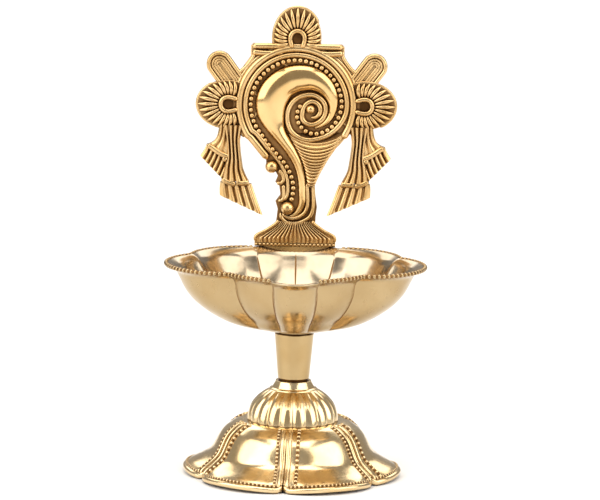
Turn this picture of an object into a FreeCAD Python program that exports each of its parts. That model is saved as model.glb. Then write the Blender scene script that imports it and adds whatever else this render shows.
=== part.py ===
"""Brass standing oil lamp (samai): lobed oil bowl with a conch back plate, on a tapered stem and a
six-petalled foot.  Millimetres, Z up, the front of the lamp faces -Y, and the origin is the centre
of the flat ring the foot rests on."""

import FreeCAD
import Part
import math
import os

V = FreeCAD.Vector

# ---- overall and foot ----
PETALS = 6
FOOT_TURN = -5.0         # degrees the foot is turned under the bowl once it is screwed up tight
FOOT_TOP_Z = 21.8        # flat seat that carries the fluted dome
FOOT_WEB = 1.5           # thickness of the web under that seat
FOOT_HOLE_R = 3.2        # clearance hole for the rod
# outside of the foot: height, radius at a petal, radius at the groove between petals
FOOT_LIP = [(0.0, 39.2, 36.0), (0.9, 42.1, 36.6), (2.0, 42.8, 36.9), (3.0, 42.2, 36.4), (4.0, 40.4, 35.5)]
FOOT_BODY = [(4.0, 40.4, 35.5), (5.0, 38.3, 34.3), (6.5, 35.6, 32.5), (8.2, 33.2, 30.8), (10.5, 31.3, 29.4),
             (13.6, 29.7, 28.0), (16.8, 27.7, 26.4), (19.4, 24.7, 23.8), (20.9, 21.8, 21.4), (21.8, 19.0, 19.0)]
# hollow under the foot, same columns
FOOT_HOLLOW = [(-0.5, 36.6, 34.0), (2.2, 36.2, 33.4), (4.6, 34.2, 31.5), (6.5, 31.6, 29.6), (8.2, 30.2, 28.2),
               (10.5, 29.0, 27.0), (13.6, 27.4, 25.8), (16.8, 25.0, 24.0), (18.9, 22.0, 21.6), (20.3, 19.2, 19.0)]

# ---- fluted dome ----
FLUTES = 20
DOME_TURN = 0.0
DOME_Z = [(21.8, 17.9, 17.0), (24.5, 17.8, 16.9), (26.5, 17.1, 16.3), (28.5, 15.9, 15.1), (30.5, 14.2, 13.5),
          (32.5, 11.9, 11.4), (34.0, 9.6, 9.3), (34.7, 8.5, 8.3)]
DOME_TOP_Z = 37.4
DOME_NECK_R = 6.9
DOME_WALL = 2.0

# ---- rod, clamp and washers ----
ROD_R = 3.0              # M6
ROD_BOTTOM_Z = 14.0
ROD_TOP_Z = 46.5
NUT_ACROSS_FLATS = 10.0
NUT_HEIGHT = 4.0
CLAMP_WASHER_R = 7.0
CLAMP_WASHER_T = 1.1
NECK_WASHER_R = 5.6
NECK_WASHER_T = 0.9
BOWL_WASHER_R = 7.0
BOWL_WASHER_T = 0.5

# ---- stem ----
STEM_BOTTOM_Z = DOME_TOP_Z + NECK_WASHER_T
STEM_TOP_Z = 56.2
STEM_BOTTOM_R = 6.2
STEM_TOP_R = 7.7
RUNNING_FIT = 0.05
LOWER_SOCKET_TOP_Z = 47.5
UPPER_SOCKET_BOTTOM_Z = 49.0

# ---- bowl ----
BOWL_BOTTOM_Z = STEM_TOP_Z + BOWL_WASHER_T
RIM_Z = 83.05
SPIGOT_R = 4.0
SPIGOT_BOTTOM_Z = 49.5
# lobes of the rim: angle from the front, share of the full radius; groove and bulge take turns
LOBES = [(15.5, 0.715), (32.0, 0.69), (49.5, 0.675), (88.0, 1.0), (116.0, 0.912), (132.0, 0.957),
         (157.0, 0.865), (180.0, 0.90), (203.0, 0.865), (228.0, 0.957), (244.0, 0.912), (272.0, 1.0),
         (310.5, 0.675), (328.0, 0.69), (344.5, 0.715), (360.0, 0.835)]
# height, full radius, how strongly the lobes show there
BOWL_BODY = [(57.2, 7.8, 0.0), (57.7, 11.5, 0.15), (58.6, 18.2, 0.5), (60.0, 24.6, 0.8), (62.2, 29.9, 1.0),
             (65.4, 35.2, 1.0), (68.9, 39.5, 1.0), (72.9, 42.8, 1.0), (77.6, 45.2, 1.0), (80.1, 46.6, 1.0)]
BOWL_LIP = [(80.1, 46.6, 1.0), (81.4, 48.7, 1.0), (82.5, 50.8, 1.0), (83.05, 50.9, 1.0)]
BOWL_INSIDE = [(60.2, 7.0, 0.0), (60.5, 11.0, 0.2), (61.3, 17.4, 0.6), (62.4, 22.8, 0.9), (64.3, 27.9, 1.0),
               (66.9, 33.0, 1.0), (70.0, 37.4, 1.0), (73.6, 40.8, 1.0), (77.9, 43.5, 1.0), (80.3, 44.9, 1.0)]
LIP_INSIDE = [(80.3, 44.9, 1.0), (81.8, 47.3, 1.0), (83.05, 49.6, 1.0), (83.8, 50.7, 1.0)]

# ---- back plate: u runs right and v up from the middle of its foot ----
PLATE_U = -0.5           # the plate sits a little left of the middle of the bowl
PLATE_DROP = 0.9         # and its v = 0 is this far below the rim
PLATE_FRONT_Y = 41.5
PLATE_T = 3.0
DISC_U = -0.5
DISC_V = 57.75
DISC_R = 23.8
ROSETTE_REACH = 39.9     # disc centre to the tip of a side rosette
ROSETTE_REACH_TOP = 39.3
ROSETTE_LONG = 13.0      # half-length and half-width of the rosette oval
ROSETTE_WIDE = 9.9
BRACKET_HALF_WIDTH = 13.0
BRACKET_T = 3.4
SCREW_U = 9.0
SCREW_R = 1.0
SCREW_HEAD_R = 1.55
SCREW_REACH = 4.6        # length of screw inside the plate

os.makedirs("parts", exist_ok=True)


def cylinder(radius, z_low, z_high, x=0.0, y=0.0):
    return Part.makeCylinder(radius, z_high - z_low, V(x, y, z_low))


def tube(r_out, r_in, z_low, z_high):
    return cylinder(r_out, z_low, z_high).cut(cylinder(r_in, z_low, z_high))


def polar(radius, degrees, z):
    a = math.radians(degrees)
    return V(radius * math.sin(a), -radius * math.cos(a), z)


def arc_wire(points):
    """Closed wire of arcs; the points are groove, bulge, groove, bulge and so on."""
    edges = []
    count = len(points)
    for i in range(0, count, 2):
        arc = Part.Arc(points[i], points[(i + 1) % count], points[(i + 2) % count])
        edges.append(arc.toShape())
    return Part.Wire(edges)


def petal_wire(count, turn, z, r_tip, r_groove):
    step = 360.0 / count
    points = []
    for i in range(count):
        points.append(polar(r_groove, i * step + turn, z))
        points.append(polar(r_tip, (i + 0.5) * step + turn, z))
    return arc_wire(points)


def petal_solid(count, turn, levels, ruled=False):
    wires = [petal_wire(count, turn, z, r_tip, r_groove) for z, r_tip, r_groove in levels]
    return Part.makeLoft(wires, True, ruled)


def bowl_wire(z, radius, strength):
    points = []
    for angle, share in LOBES:
        points.append(polar(radius * (1.0 - strength * (1.0 - share)), angle, z))
    return arc_wire(points)


def bowl_solid(levels, ruled=False):
    return Part.makeLoft([bowl_wire(*level) for level in levels], True, ruled)


def plate_point(u, v, y):
    return V(u + PLATE_U, y, RIM_Z - PLATE_DROP + v)


def smooth_outline(points, y_back, y_front):
    """Slab whose outline is a smooth closed curve through the points."""
    curve = Part.BSplineCurve()
    curve.interpolate(Points=[plate_point(u, v, y_back) for u, v in points], PeriodicFlag=True)
    face = Part.Face(Part.Wire([curve.toShape()]))
    return face.extrude(V(0, y_front - y_back, 0))


def straight_outline(points, y_back, y_front):
    corners = [plate_point(u, v, y_back) for u, v in points]
    face = Part.Face(Part.makePolygon(corners + corners[:1]))
    return face.extrude(V(0, y_front - y_back, 0))


def round_slab(u, v, radius, y_back, y_front):
    return Part.makeCylinder(radius, abs(y_back - y_front), plate_point(u, v, y_back), V(0, -1, 0))


def mirrored(points):
    return [(-u, v) for u, v in points]


def capsule_slab(start, end, radius, y_back, y_front):
    """Bar with round ends between two points."""
    du, dv = end[0] - start[0], end[1] - start[1]
    length = math.hypot(du, dv)
    nu, nv = -dv / length * radius, du / length * radius
    bar = straight_outline([(start[0] + nu, start[1] + nv), (end[0] + nu, end[1] + nv),
                            (end[0] - nu, end[1] - nv), (start[0] - nu, start[1] - nv)], y_back, y_front)
    ends = [round_slab(start[0], start[1], radius, y_back, y_front),
            round_slab(end[0], end[1], radius, y_back, y_front)]
    return bar.multiFuse(ends)


def oval_wire(v, u, half_width, half_depth, y):
    oval = Part.Ellipse(plate_point(u, v, y), half_width, half_depth)
    return Part.Wire([oval.toShape()])


# ---- foot: petalled shell with a flat web on top ----
foot = petal_solid(PETALS, FOOT_TURN, FOOT_BODY).fuse(petal_solid(PETALS, FOOT_TURN, FOOT_LIP, True))
foot = foot.cut(petal_solid(PETALS, FOOT_TURN, FOOT_HOLLOW))
base_foot = foot.cut(cylinder(FOOT_HOLE_R, FOOT_TOP_Z - FOOT_WEB - 2.0, FOOT_TOP_Z + 1.0))

# ---- fluted dome: hollow cap, threaded hole at its neck ----
dome = petal_solid(FLUTES, DOME_TURN, DOME_Z, True)
neck = Part.makeCone(DOME_Z[-1][2], DOME_NECK_R, DOME_TOP_Z - DOME_Z[-1][0], V(0, 0, DOME_Z[-1][0]))
hollow_r = DOME_Z[0][2] - DOME_WALL
hollow = Part.makeCone(hollow_r, hollow_r - 8.0, 9.0, V(0, 0, FOOT_TOP_Z))
fluted_dome = dome.fuse(neck).cut(hollow).cut(cylinder(ROD_R + RUNNING_FIT, FOOT_TOP_Z, DOME_TOP_Z + 1.0))

# ---- rod with its clamp nut and washer under the foot ----
centre_rod = cylinder(ROD_R, ROD_BOTTOM_Z, ROD_TOP_Z)
web_under_z = FOOT_TOP_Z - FOOT_WEB
clamp_washer = tube(CLAMP_WASHER_R, FOOT_HOLE_R, web_under_z - CLAMP_WASHER_T, web_under_z)
nut_top_z = web_under_z - CLAMP_WASHER_T
hexagon = Part.makePolygon([V(NUT_ACROSS_FLATS / math.sqrt(3) * math.cos(math.radians(60 * k)),
                              NUT_ACROSS_FLATS / math.sqrt(3) * math.sin(math.radians(60 * k)),
                              nut_top_z - NUT_HEIGHT) for k in range(7)])
nut_block = Part.Face(hexagon).extrude(V(0, 0, NUT_HEIGHT))
clamp_nut = nut_block.cut(cylinder(ROD_R, nut_top_z - NUT_HEIGHT, nut_top_z))

# ---- washers either side of the stem ----
neck_washer = tube(NECK_WASHER_R, ROD_R + 0.1, DOME_TOP_Z, STEM_BOTTOM_Z)
bowl_washer = tube(BOWL_WASHER_R, SPIGOT_R + 0.1, STEM_TOP_Z, BOWL_BOTTOM_Z)

# ---- stem: tapered, threaded socket at each end ----
stem = Part.makeCone(STEM_BOTTOM_R, STEM_TOP_R, STEM_TOP_Z - STEM_BOTTOM_Z, V(0, 0, STEM_BOTTOM_Z))
stem = stem.cut(cylinder(ROD_R + RUNNING_FIT, STEM_BOTTOM_Z, LOWER_SOCKET_TOP_Z))
stem = stem.cut(cylinder(SPIGOT_R + RUNNING_FIT, UPPER_SOCKET_BOTTOM_Z, STEM_TOP_Z))

# ---- oil bowl: lobed shell, spigot below, bracket behind the rim for the back plate ----
plate_back_y = PLATE_FRONT_Y + PLATE_T
bracket = Part.makeBox(2 * BRACKET_HALF_WIDTH, plate_back_y - PLATE_FRONT_Y, BRACKET_T,
                       V(-BRACKET_HALF_WIDTH, PLATE_FRONT_Y, RIM_Z - BRACKET_T))
bowl_outside = bowl_solid(BOWL_BODY).fuse(bowl_solid(BOWL_LIP, True))
bowl_inside = bowl_solid(BOWL_INSIDE).fuse(bowl_solid(LIP_INSIDE, True))
oil_bowl = bowl_outside.cut(bowl_inside)
oil_bowl = oil_bowl.fuse(bracket)
oil_bowl = oil_bowl.fuse(cylinder(BOWL_BODY[0][1], BOWL_BOTTOM_Z, BOWL_BODY[0][0] + 0.2))
oil_bowl = oil_bowl.fuse(cylinder(SPIGOT_R, SPIGOT_BOTTOM_Z, BOWL_BOTTOM_Z + 1.0))

# ---- back plate: slab silhouette, then the raised work on its front ----
body_outline = [(-19.6, 46.5), (-11.6, 36.4), (-12.3, 32.2), (-10.3, 30.4), (-7.9, 31.2), (-7.2, 28.8),
                (-8.8, 26.4), (-6.8, 24.6), (-6.4, 21.2), (-7.9, 18.6), (-7.0, 15.6), (-7.0, 12.5),
                (-7.3, 9.7), (7.3, 9.7), (7.6, 12.5), (8.3, 16.5), (7.6, 20.6), (7.1, 25.8),
                (8.7, 28.4), (19.4, 46.6)]
foot_outline = [(-16.1, PLATE_DROP), (-16.1, 4.4), (-7.3, 9.9), (7.3, 9.9), (16.1, 4.4), (16.1, PLATE_DROP)]
shoulder_outline = [(-18.4, 78.4), (-18.4, 81.4), (-17.4, 82.1), (17.4, 82.1), (18.4, 81.4), (18.4, 78.4),
                    (24.6, 70.0), (24.6, 60.0), (-24.6, 60.0), (-24.6, 70.0)]
ribbon = [(-30.0, 50.2), (-30.6, 45.2), (-32.3, 42.2), (-34.6, 41.6), (-35.6, 39.4), (-37.3, 36.9),
          (-34.5, 32.8), (-29.8, 28.2), (-29.3, 24.4), (-29.6, 21.3), (-23.4, 17.2), (-15.4, 12.8),
          (-13.6, 13.6), (-14.2, 16.4), (-18.1, 23.6), (-18.1, 26.8), (-20.2, 28.6), (-21.8, 32.9),
          (-22.7, 39.0), (-22.6, 44.0), (-21.6, 49.0), (-25.0, 51.5)]
y_back = PLATE_FRONT_Y + PLATE_T
y_front = PLATE_FRONT_Y
pieces = [straight_outline(body_outline, y_back, y_front)]
pieces.append(straight_outline(foot_outline, y_back, y_front))
pieces.append(straight_outline(shoulder_outline, y_back, y_front))
pieces.append(smooth_outline(ribbon, y_back, y_front))
pieces.append(smooth_outline(mirrored(ribbon), y_back, y_front))
for side in (-1, 1):
    pieces.append(capsule_slab((side * 22.0, 63.0), (side * 30.2, 73.6), 5.3, y_back, y_front))

# a rosette at the top and one at each side, standing a little proud of the slab
for angle, reach in ((90.0, ROSETTE_REACH_TOP), (0.0, ROSETTE_REACH), (180.0, ROSETTE_REACH)):
    rosette_centre = reach - ROSETTE_LONG
    a = math.radians(angle)
    centre = plate_point(DISC_U + rosette_centre * math.cos(a), DISC_V + rosette_centre * math.sin(a), y_back)
    oval = Part.Ellipse(V(0, 0, 0), ROSETTE_LONG, ROSETTE_WIDE)
    slab = Part.Face(Part.Wire([oval.toShape()])).extrude(V(0, 0, PLATE_T + 0.8))
    slab.rotate(V(0, 0, 0), V(0, 0, 1), angle)
    slab.rotate(V(0, 0, 0), V(1, 0, 0), 90.0)
    slab.translate(centre)
    pieces.append(slab)
back_plate = round_slab(DISC_U, DISC_V, DISC_R, y_back, y_front).multiFuse(pieces)

# frame ring round the disc
ring = round_slab(DISC_U, DISC_V, DISC_R, y_front + 0.5, y_front - 1.4)
ring = ring.cut(round_slab(DISC_U, DISC_V, DISC_R - 4.2, y_front + 0.5, y_front - 1.4))
open_corner = straight_outline([(-6.0, 30.0), (-14.0, 42.0), (22.0, 46.0), (22.0, 30.0)], y_front + 0.6, y_front - 2.0)
ring = ring.cut(open_corner)

# swollen conch body, its spiral end and its ringed tip
conch_outline = [(-17.6, 57.0), (-15.0, 66.0), (-7.5, 72.2), (1.5, 73.2), (9.5, 69.5), (13.6, 62.0),
                 (14.0, 54.5), (9.0, 48.0), (3.0, 44.0), (1.5, 34.5), (2.6, 24.5), (3.4, 17.0),
                 (0.0, 11.8), (-2.6, 12.6), (0.2, 18.0), (-0.6, 28.0), (-4.0, 36.0), (-12.0, 45.5)]
conch = smooth_outline(conch_outline, y_front + 0.5, y_front - 3.4)
swell_r = 60.0
swell = Part.makeSphere(swell_r, plate_point(-2.0, 58.0, y_front - 3.0 + swell_r))
tail = straight_outline([(-5.0, 10.0), (-5.0, 38.0), (5.0, 38.0), (5.0, 10.0)], y_front + 0.5, y_front - 1.4)
conch = conch.common(swell.fuse(tail))
spiral = round_slab(5.2, 56.3, 8.6, y_front + 0.5, y_front - 3.4)
spiral = spiral.cut(round_slab(5.2, 56.3, 6.9, y_front - 2.0, y_front - 3.4))
boss = Part.makeSphere(1.9, plate_point(5.2, 56.3, y_front - 2.2))
tip = Part.makeLoft([oval_wire(26.2, 5.0, 2.3, 1.2, y_front), oval_wire(46.5, 8.0, 10.4, 2.4, y_front)], True, True)
drops = [Part.makeSphere(2.6, plate_point(-10.3, 33.0, y_front)),
         Part.makeSphere(2.6, plate_point(-3.6, 16.9, y_front))]
back_plate = back_plate.multiFuse([ring, conch, spiral, boss, tip] + drops)
behind = Part.makeBox(120, 20, 120, V(-60, y_back, RIM_Z - 1))
back_plate = back_plate.cut(behind)

# ---- two small screws come up through the bracket into the plate's foot ----
screw_y = PLATE_FRONT_Y + PLATE_T / 2
screws = []
for u in (-SCREW_U, SCREW_U):
    shank = cylinder(SCREW_R, RIM_Z - BRACKET_T, RIM_Z + SCREW_REACH, u, screw_y)
    head = cylinder(SCREW_HEAD_R, RIM_Z - BRACKET_T - 1.5, RIM_Z - BRACKET_T, u, screw_y)
    screws.append(head.fuse(shank))
    oil_bowl = oil_bowl.cut(shank)
    back_plate = back_plate.cut(shank)

nodes = {
    "base_foot": base_foot,
    "fluted_dome": fluted_dome,
    "centre_rod": centre_rod,
    "clamp_washer": clamp_washer,
    "clamp_nut": clamp_nut,
    "neck_washer": neck_washer,
    "stem": stem,
    "bowl_washer": bowl_washer,
    "oil_bowl": oil_bowl,
    "back_plate": back_plate,
    "plate_screw_left": screws[0],
    "plate_screw_right": screws[1],
}
for name, shape in nodes.items():
    solids = shape.Solids
    box = shape.BoundBox
    print(f"{name:18s} solids {len(solids)} valid {shape.isValid()} volume {shape.Volume:9.1f} "
          f"x {box.XMin:7.2f}..{box.XMax:7.2f} y {box.YMin:7.2f}..{box.YMax:7.2f} z {box.ZMin:7.2f}..{box.ZMax:7.2f}")
    single = solids[0] if len(solids) == 1 else shape
    single.exportStep(f"parts/{name}.step")
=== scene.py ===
# %% [markdown]
# # Brass standing oil lamp
# This notebook builds the looks of a small cast-brass lamp on top of its measured model. The model
# arrives as a fixed frame: one object for each piece of metal and one empty for each moving body.
# Everything below is in the same frame, Z up, with the front of the lamp towards -Y. Sizes are
# written in millimetres, because a lamp maker thinks in them, and are scaled to metres as each
# mesh is made.

# %% Load the frame
import bpy
import bmesh
import math
import numpy as np
from mathutils import Matrix, Quaternion, Vector


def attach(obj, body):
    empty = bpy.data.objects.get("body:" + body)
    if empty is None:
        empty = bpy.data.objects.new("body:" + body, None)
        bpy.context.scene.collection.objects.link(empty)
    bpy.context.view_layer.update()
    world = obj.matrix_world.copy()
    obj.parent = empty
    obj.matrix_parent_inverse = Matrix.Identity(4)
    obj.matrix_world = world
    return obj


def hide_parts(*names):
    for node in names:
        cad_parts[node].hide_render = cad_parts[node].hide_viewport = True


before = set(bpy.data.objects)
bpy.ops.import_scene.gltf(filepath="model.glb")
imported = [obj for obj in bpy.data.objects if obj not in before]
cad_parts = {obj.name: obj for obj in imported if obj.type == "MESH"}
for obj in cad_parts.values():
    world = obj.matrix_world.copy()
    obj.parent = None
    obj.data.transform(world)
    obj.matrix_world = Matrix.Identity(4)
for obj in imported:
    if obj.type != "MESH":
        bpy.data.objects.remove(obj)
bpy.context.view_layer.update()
MM = 0.001


def add(name, data):
    """Puts a mesh, curve, light or camera in the scene as an object."""
    thing = bpy.data.objects.new(name, data)
    bpy.context.scene.collection.objects.link(thing)
    return thing


# %% [markdown]
# ## Camera
# A product shot of a lamp is taken from far away with a long lens, so the verticals stay parallel.
# The camera stands two metres off, a little above the rim, and leans by one degree, as a tripod
# that wasn't quite level would.

# %% Camera
CAMERA_DISTANCE = 2000.0
CAMERA_HEIGHT_DEG = 9.8
CAMERA_LEAN_DEG = 1.1
LENS, SENSOR = 308.0, 36.0
LOOK_AT = Vector((1.6, 0.0, 88.9)) * MM

tilt = math.radians(CAMERA_HEIGHT_DEG)
camera_data = bpy.data.cameras.new("camera")
camera_data.lens = LENS
camera_data.sensor_width = SENSOR
camera_data.clip_start = 0.05
camera_data.clip_end = 50.0
camera = add("camera", camera_data)
back = Vector((0.0, -math.cos(tilt), math.sin(tilt)))
camera.location = LOOK_AT + back * CAMERA_DISTANCE * MM
camera.rotation_mode = "QUATERNION"
lean = Quaternion((0.0, 0.0, 1.0), math.radians(CAMERA_LEAN_DEG))
camera.rotation_quaternion = (-back).to_track_quat("-Z", "Y") @ lean
bpy.context.scene.camera = camera
print("camera at", tuple(round(c, 3) for c in camera.location))

# %% [markdown]
# ## Brass
# Polished brass has no colour of its own beyond the tint of its reflections, so one shader fits
# every piece: a metal whose tint, gloss and grain change a little from place to place. Hand
# rubbing brightens what stands proud and leaves brown patina where a cloth can't reach. Ambient
# occlusion darkens each recess to that brown: partly patina, partly painted shade where less
# light falls. Each finish below is the same recipe with its own numbers.

# %% Nodes
def node(tree, kind, wires=None, **settings):
    """A new node. wires gives its inputs another node's output or a plain value."""
    made = tree.nodes.new(kind)
    for key, value in settings.items():
        setattr(made, key, value)
    for socket, value in (wires or {}).items():
        if isinstance(value, bpy.types.NodeSocket):
            tree.links.new(value, made.inputs[socket])
        else:
            made.inputs[socket].default_value = value
    return made


def maths(tree, operation, *values):
    return node(tree, "ShaderNodeMath", dict(enumerate(values)), operation=operation).outputs[0]


def remap(tree, value, low, high, to_low, to_high):
    wires = dict(enumerate((value, low, high, to_low, to_high)))
    return node(tree, "ShaderNodeMapRange", wires).outputs[0]


def mix_colours(tree, factor, first, second):
    """first and second are colours of three numbers or another node's output."""
    first, second = ((*c, 1.0) if isinstance(c, tuple) else c for c in (first, second))
    wires = {0: factor, 6: first, 7: second}
    return node(tree, "ShaderNodeMix", wires, data_type="RGBA").outputs[2]


# %% Brass recipe
CLOUD_SIZE = 14.0     # mm across the soft changes of tint
STREAK_SIZE = 2.2     # mm across the rubbing streaks, which run four times as far up and down
GRAIN_SIZE = 0.35     # mm across one grain of the skin
GRAIN_DEPTH = 0.05    # mm from top to bottom of the grain
# the metal is rougher where the recess brown, patina and painted shade, is full
DULL = 0.28           # how much rougher full patina is than the bare metal


def new_material(name):
    material = bpy.data.materials.new(name)
    material.use_nodes = True
    return material, material.node_tree.nodes["Principled BSDF"]


def brass(name, tint, deep, gloss, patina_and_shade, reach, patina_and_shade_strength, grain):
    """tint and deep: the two shades of the metal; gloss: roughness; patina_and_shade: the brown
    given to recesses about reach mm wide, old tarnish and painted shade together; grain: strength
    of the casting or rubbing grain."""
    material, shader = new_material(name)
    tree = material.node_tree
    shader.inputs["Metallic"].default_value = 1.0
    where = node(tree, "ShaderNodeTexCoord").outputs["Object"]

    def noise(size, detail, stretch=(1.0, 1.0, 1.0)):
        mapped = node(tree, "ShaderNodeMapping", {"Vector": where, "Scale": stretch})
        return node(tree, "ShaderNodeTexNoise", {
            "Vector": mapped.outputs[0], "Scale": 1000.0 / size, "Detail": detail}).outputs["Fac"]

    clouds = remap(tree, noise(CLOUD_SIZE, 3.0), 0.35, 0.65, 0.0, 1.0)
    # ambient occlusion browns the recesses: patina and painted shade
    recess = node(tree, "ShaderNodeAmbientOcclusion", {"Distance": reach * MM}, samples=8)
    patina_and_shade_mask = remap(tree, recess.outputs["AO"], 0.30, 0.85, patina_and_shade_strength, 0.0)
    coloured = mix_colours(tree, patina_and_shade_mask, mix_colours(tree, clouds, tint, deep), patina_and_shade)
    tree.links.new(coloured, shader.inputs["Base Color"])

    streaks = noise(STREAK_SIZE, 4.0, (1.0, 1.0, 0.25))
    rough = remap(tree, streaks, 0.3, 0.7, gloss * 0.75, gloss * 1.3)
    tree.links.new(maths(tree, "MULTIPLY_ADD", patina_and_shade_mask, DULL, rough), shader.inputs["Roughness"])

    bump = node(tree, "ShaderNodeBump", {
        "Strength": grain, "Distance": GRAIN_DEPTH * MM, "Height": noise(GRAIN_SIZE, 5.0)})
    tree.links.new(bump.outputs[0], shader.inputs["Normal"])
    return material


# %% Finishes
# the brown of the recesses, patina and painted shade together
PATINA_AND_SHADE = (0.13, 0.055, 0.014)
mirror_brass = brass("mirror_brass", (0.49, 0.355, 0.18), (0.44, 0.30, 0.135), 0.16,
                     PATINA_AND_SHADE, 1.6, 0.9, 0.10)
foot_brass = brass("foot_brass", (0.88, 0.69, 0.41), (0.80, 0.58, 0.30), 0.18,
                   PATINA_AND_SHADE, 1.4, 1.0, 0.12)
bowl_brass = brass("bowl_brass", (0.48, 0.35, 0.185), (0.43, 0.30, 0.145), 0.22,
                   PATINA_AND_SHADE, 1.6, 1.0, 0.12)
# the bowl's upward faces get this paler brass: painted light
basin_painted_light = brass("basin_painted_light", (0.50, 0.41, 0.29), (0.45, 0.355, 0.235), 0.18,
                    PATINA_AND_SHADE, 1.6, 1.0, 0.10)
cast_brass = brass("cast_brass", (0.76, 0.52, 0.25), (0.64, 0.40, 0.16), 0.25,
                   (0.10, 0.038, 0.009), 1.8, 1.0, 0.20)
conch_brass = brass("conch_brass", (0.79, 0.54, 0.245), (0.72, 0.46, 0.185), 0.16,
                    (0.14, 0.055, 0.013), 1.3, 0.9, 0.08)
# the sunk floors on the plate are this dark brown: patina and painted shade
recess_patina_and_shade = brass("recess_patina_and_shade", (0.34, 0.19, 0.075), (0.24, 0.12, 0.04), 0.36,
                     (0.06, 0.022, 0.005), 1.5, 1.0, 0.25)
# the dark lines under bead rows and in the bowl's grooves: painted shade, with patina
gap_shade_and_patina = brass("gap_shade_and_patina", (0.24, 0.125, 0.045), (0.16, 0.075, 0.022), 0.40,
                  (0.05, 0.020, 0.005), 1.0, 0.9, 0.2)
machined_brass = brass("machined_brass", (0.72, 0.52, 0.27), (0.62, 0.42, 0.20), 0.30,
                       PATINA_AND_SHADE, 1.2, 0.9, 0.15)
# near black: the slabs in the keyholes are painted shade; the neck and bowl washers use it too
dark_brass = brass("dark_brass", (0.13, 0.06, 0.018), (0.06, 0.025, 0.008), 0.45,
                   (0.03, 0.012, 0.004), 0.8, 0.9, 0.2)
print(len(bpy.data.materials), "materials")

# %% [markdown]
# ## Helpers for meshes
# Most of the lamp is surfaces laid through rows of points. These helpers smooth a few given
# stations into many, turn rows of points into faces, and put finished meshes in the scene.

# %% Mesh helpers
def smooth_line(points, count):
    """Catmull-Rom curve through the points, evaluated at count places; any number of columns."""
    p = np.array(points, float)
    n = len(p)
    at = np.linspace(0, n - 1, count)
    i = np.minimum(at.astype(int), n - 2)
    t = (at - i)[:, None]
    a, b, c, d = p[np.maximum(i - 1, 0)], p[i], p[i + 1], p[np.minimum(i + 2, n - 1)]
    return 0.5 * (2 * b + (c - a) * t + (2 * a - 5 * b + 4 * c - d) * t ** 2
                  + (3 * b - a - 3 * c + d) * t ** 3)


def tidy(mesh):
    """Welds double points, drops flat faces and turns every face outward."""
    work = bmesh.new()
    work.from_mesh(mesh)
    bmesh.ops.remove_doubles(work, verts=work.verts, dist=1e-7)
    bmesh.ops.dissolve_degenerate(work, edges=work.edges, dist=1e-8)
    bmesh.ops.recalc_face_normals(work, faces=work.faces)
    work.to_mesh(mesh)
    work.free()


def place(name, mesh, material):
    mesh.name = name
    mesh.materials.clear()
    mesh.materials.append(material)
    return add(name, mesh)


def skin(name, rows, material):
    """Closed surface through rows of points in mm. Each row is a ring; both ends are capped."""
    rows = np.array(rows, float)
    count, across = rows.shape[:2]
    faces = []
    for start in range(0, (count - 1) * across, across):
        for c in range(across):
            d = (c + 1) % across
            faces.append((start + c, start + d, start + across + d, start + across + c))
    faces.append(tuple(range(across)))
    faces.append(tuple(range((count - 1) * across, count * across)))
    mesh = bpy.data.meshes.new(name)
    mesh.from_pydata((rows.reshape(-1, 3) * MM).tolist(), [], faces)
    tidy(mesh)
    mesh.shade_smooth()
    return place(name, mesh, material)


def finished_mesh(holder):
    """The plain mesh that an object's curve or modifier makes; the object itself goes."""
    graph = bpy.context.evaluated_depsgraph_get()
    mesh = bpy.data.meshes.new_from_object(holder.evaluated_get(graph), depsgraph=graph)
    bpy.data.objects.remove(holder)
    return mesh


def join(name, things):
    """One piece out of several finished meshes, with the first one's material."""
    work = bmesh.new()
    for thing in things:
        work.from_mesh(thing.data)
    mesh = bpy.data.meshes.new(name)
    work.to_mesh(mesh)
    work.free()
    material = things[0].data.materials[0]
    for thing in things:
        bpy.data.objects.remove(thing)
    mesh.shade_smooth()
    return place(name, mesh, material)


# %% [markdown]
# ## Geometry Nodes: a shell with petals
# The bowl, the foot and the dome are all the same idea. An outline says how far each petal reaches
# at every angle, and a profile says how wide the shell is at every height. A node tree that
# multiplies the two makes all three, so a change of one number moves the whole surface. The
# outline and profile are little helper meshes whose points the tree reads by number.

# %% Node tree helpers
def new_tree(name, inputs):
    tree = bpy.data.node_groups.new(name, "GeometryNodeTree")
    tree.interface.new_socket("Geometry", in_out="INPUT", socket_type="NodeSocketGeometry")
    for label, kind in inputs:
        tree.interface.new_socket(label, in_out="INPUT", socket_type="NodeSocket" + kind)
    tree.interface.new_socket("Geometry", in_out="OUTPUT", socket_type="NodeSocketGeometry")
    return tree, tree.nodes.new("NodeGroupInput"), tree.nodes.new("NodeGroupOutput")


def end_of_tree(tree, tree_in, tree_out, geometry):
    """Smooth shading, real geometry and the material that was asked for."""
    smooth = node(tree, "GeometryNodeSetShadeSmooth", {0: geometry})
    real = node(tree, "GeometryNodeRealizeInstances", {0: smooth.outputs[0]})
    painted = node(tree, "GeometryNodeSetMaterial", {
        "Geometry": real.outputs[0], "Material": tree_in.outputs["Material"]})
    tree.links.new(painted.outputs[0], tree_out.inputs[0])


def run_tree(name, tree, values, base=None):
    """Runs the tree on a helper mesh and returns the result as a plain mesh object."""
    holder = add(name + "_holder", base or bpy.data.meshes.new(name + "_base"))
    modifier = holder.modifiers.new(tree.name, "NODES")
    modifier.node_group = tree
    sockets = {s.name: s.identifier for s in tree.interface.items_tree if s.in_out == "INPUT"}
    for label, value in values.items():
        modifier[sockets[label]] = value
    mesh = finished_mesh(holder)
    mesh.name = name
    return add(name, mesh)


def helper_points(name, rows, lifts=None):
    """Loose points for a tree to read; lifts is one more number for each."""
    mesh = bpy.data.meshes.new(name)
    mesh.from_pydata([tuple(r) for r in rows], [], [])
    if lifts is not None:
        attribute = mesh.attributes.new("lift", "FLOAT", "POINT")
        attribute.data.foreach_set("value", np.array(lifts, np.float32))
    return add(name, mesh)


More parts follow.
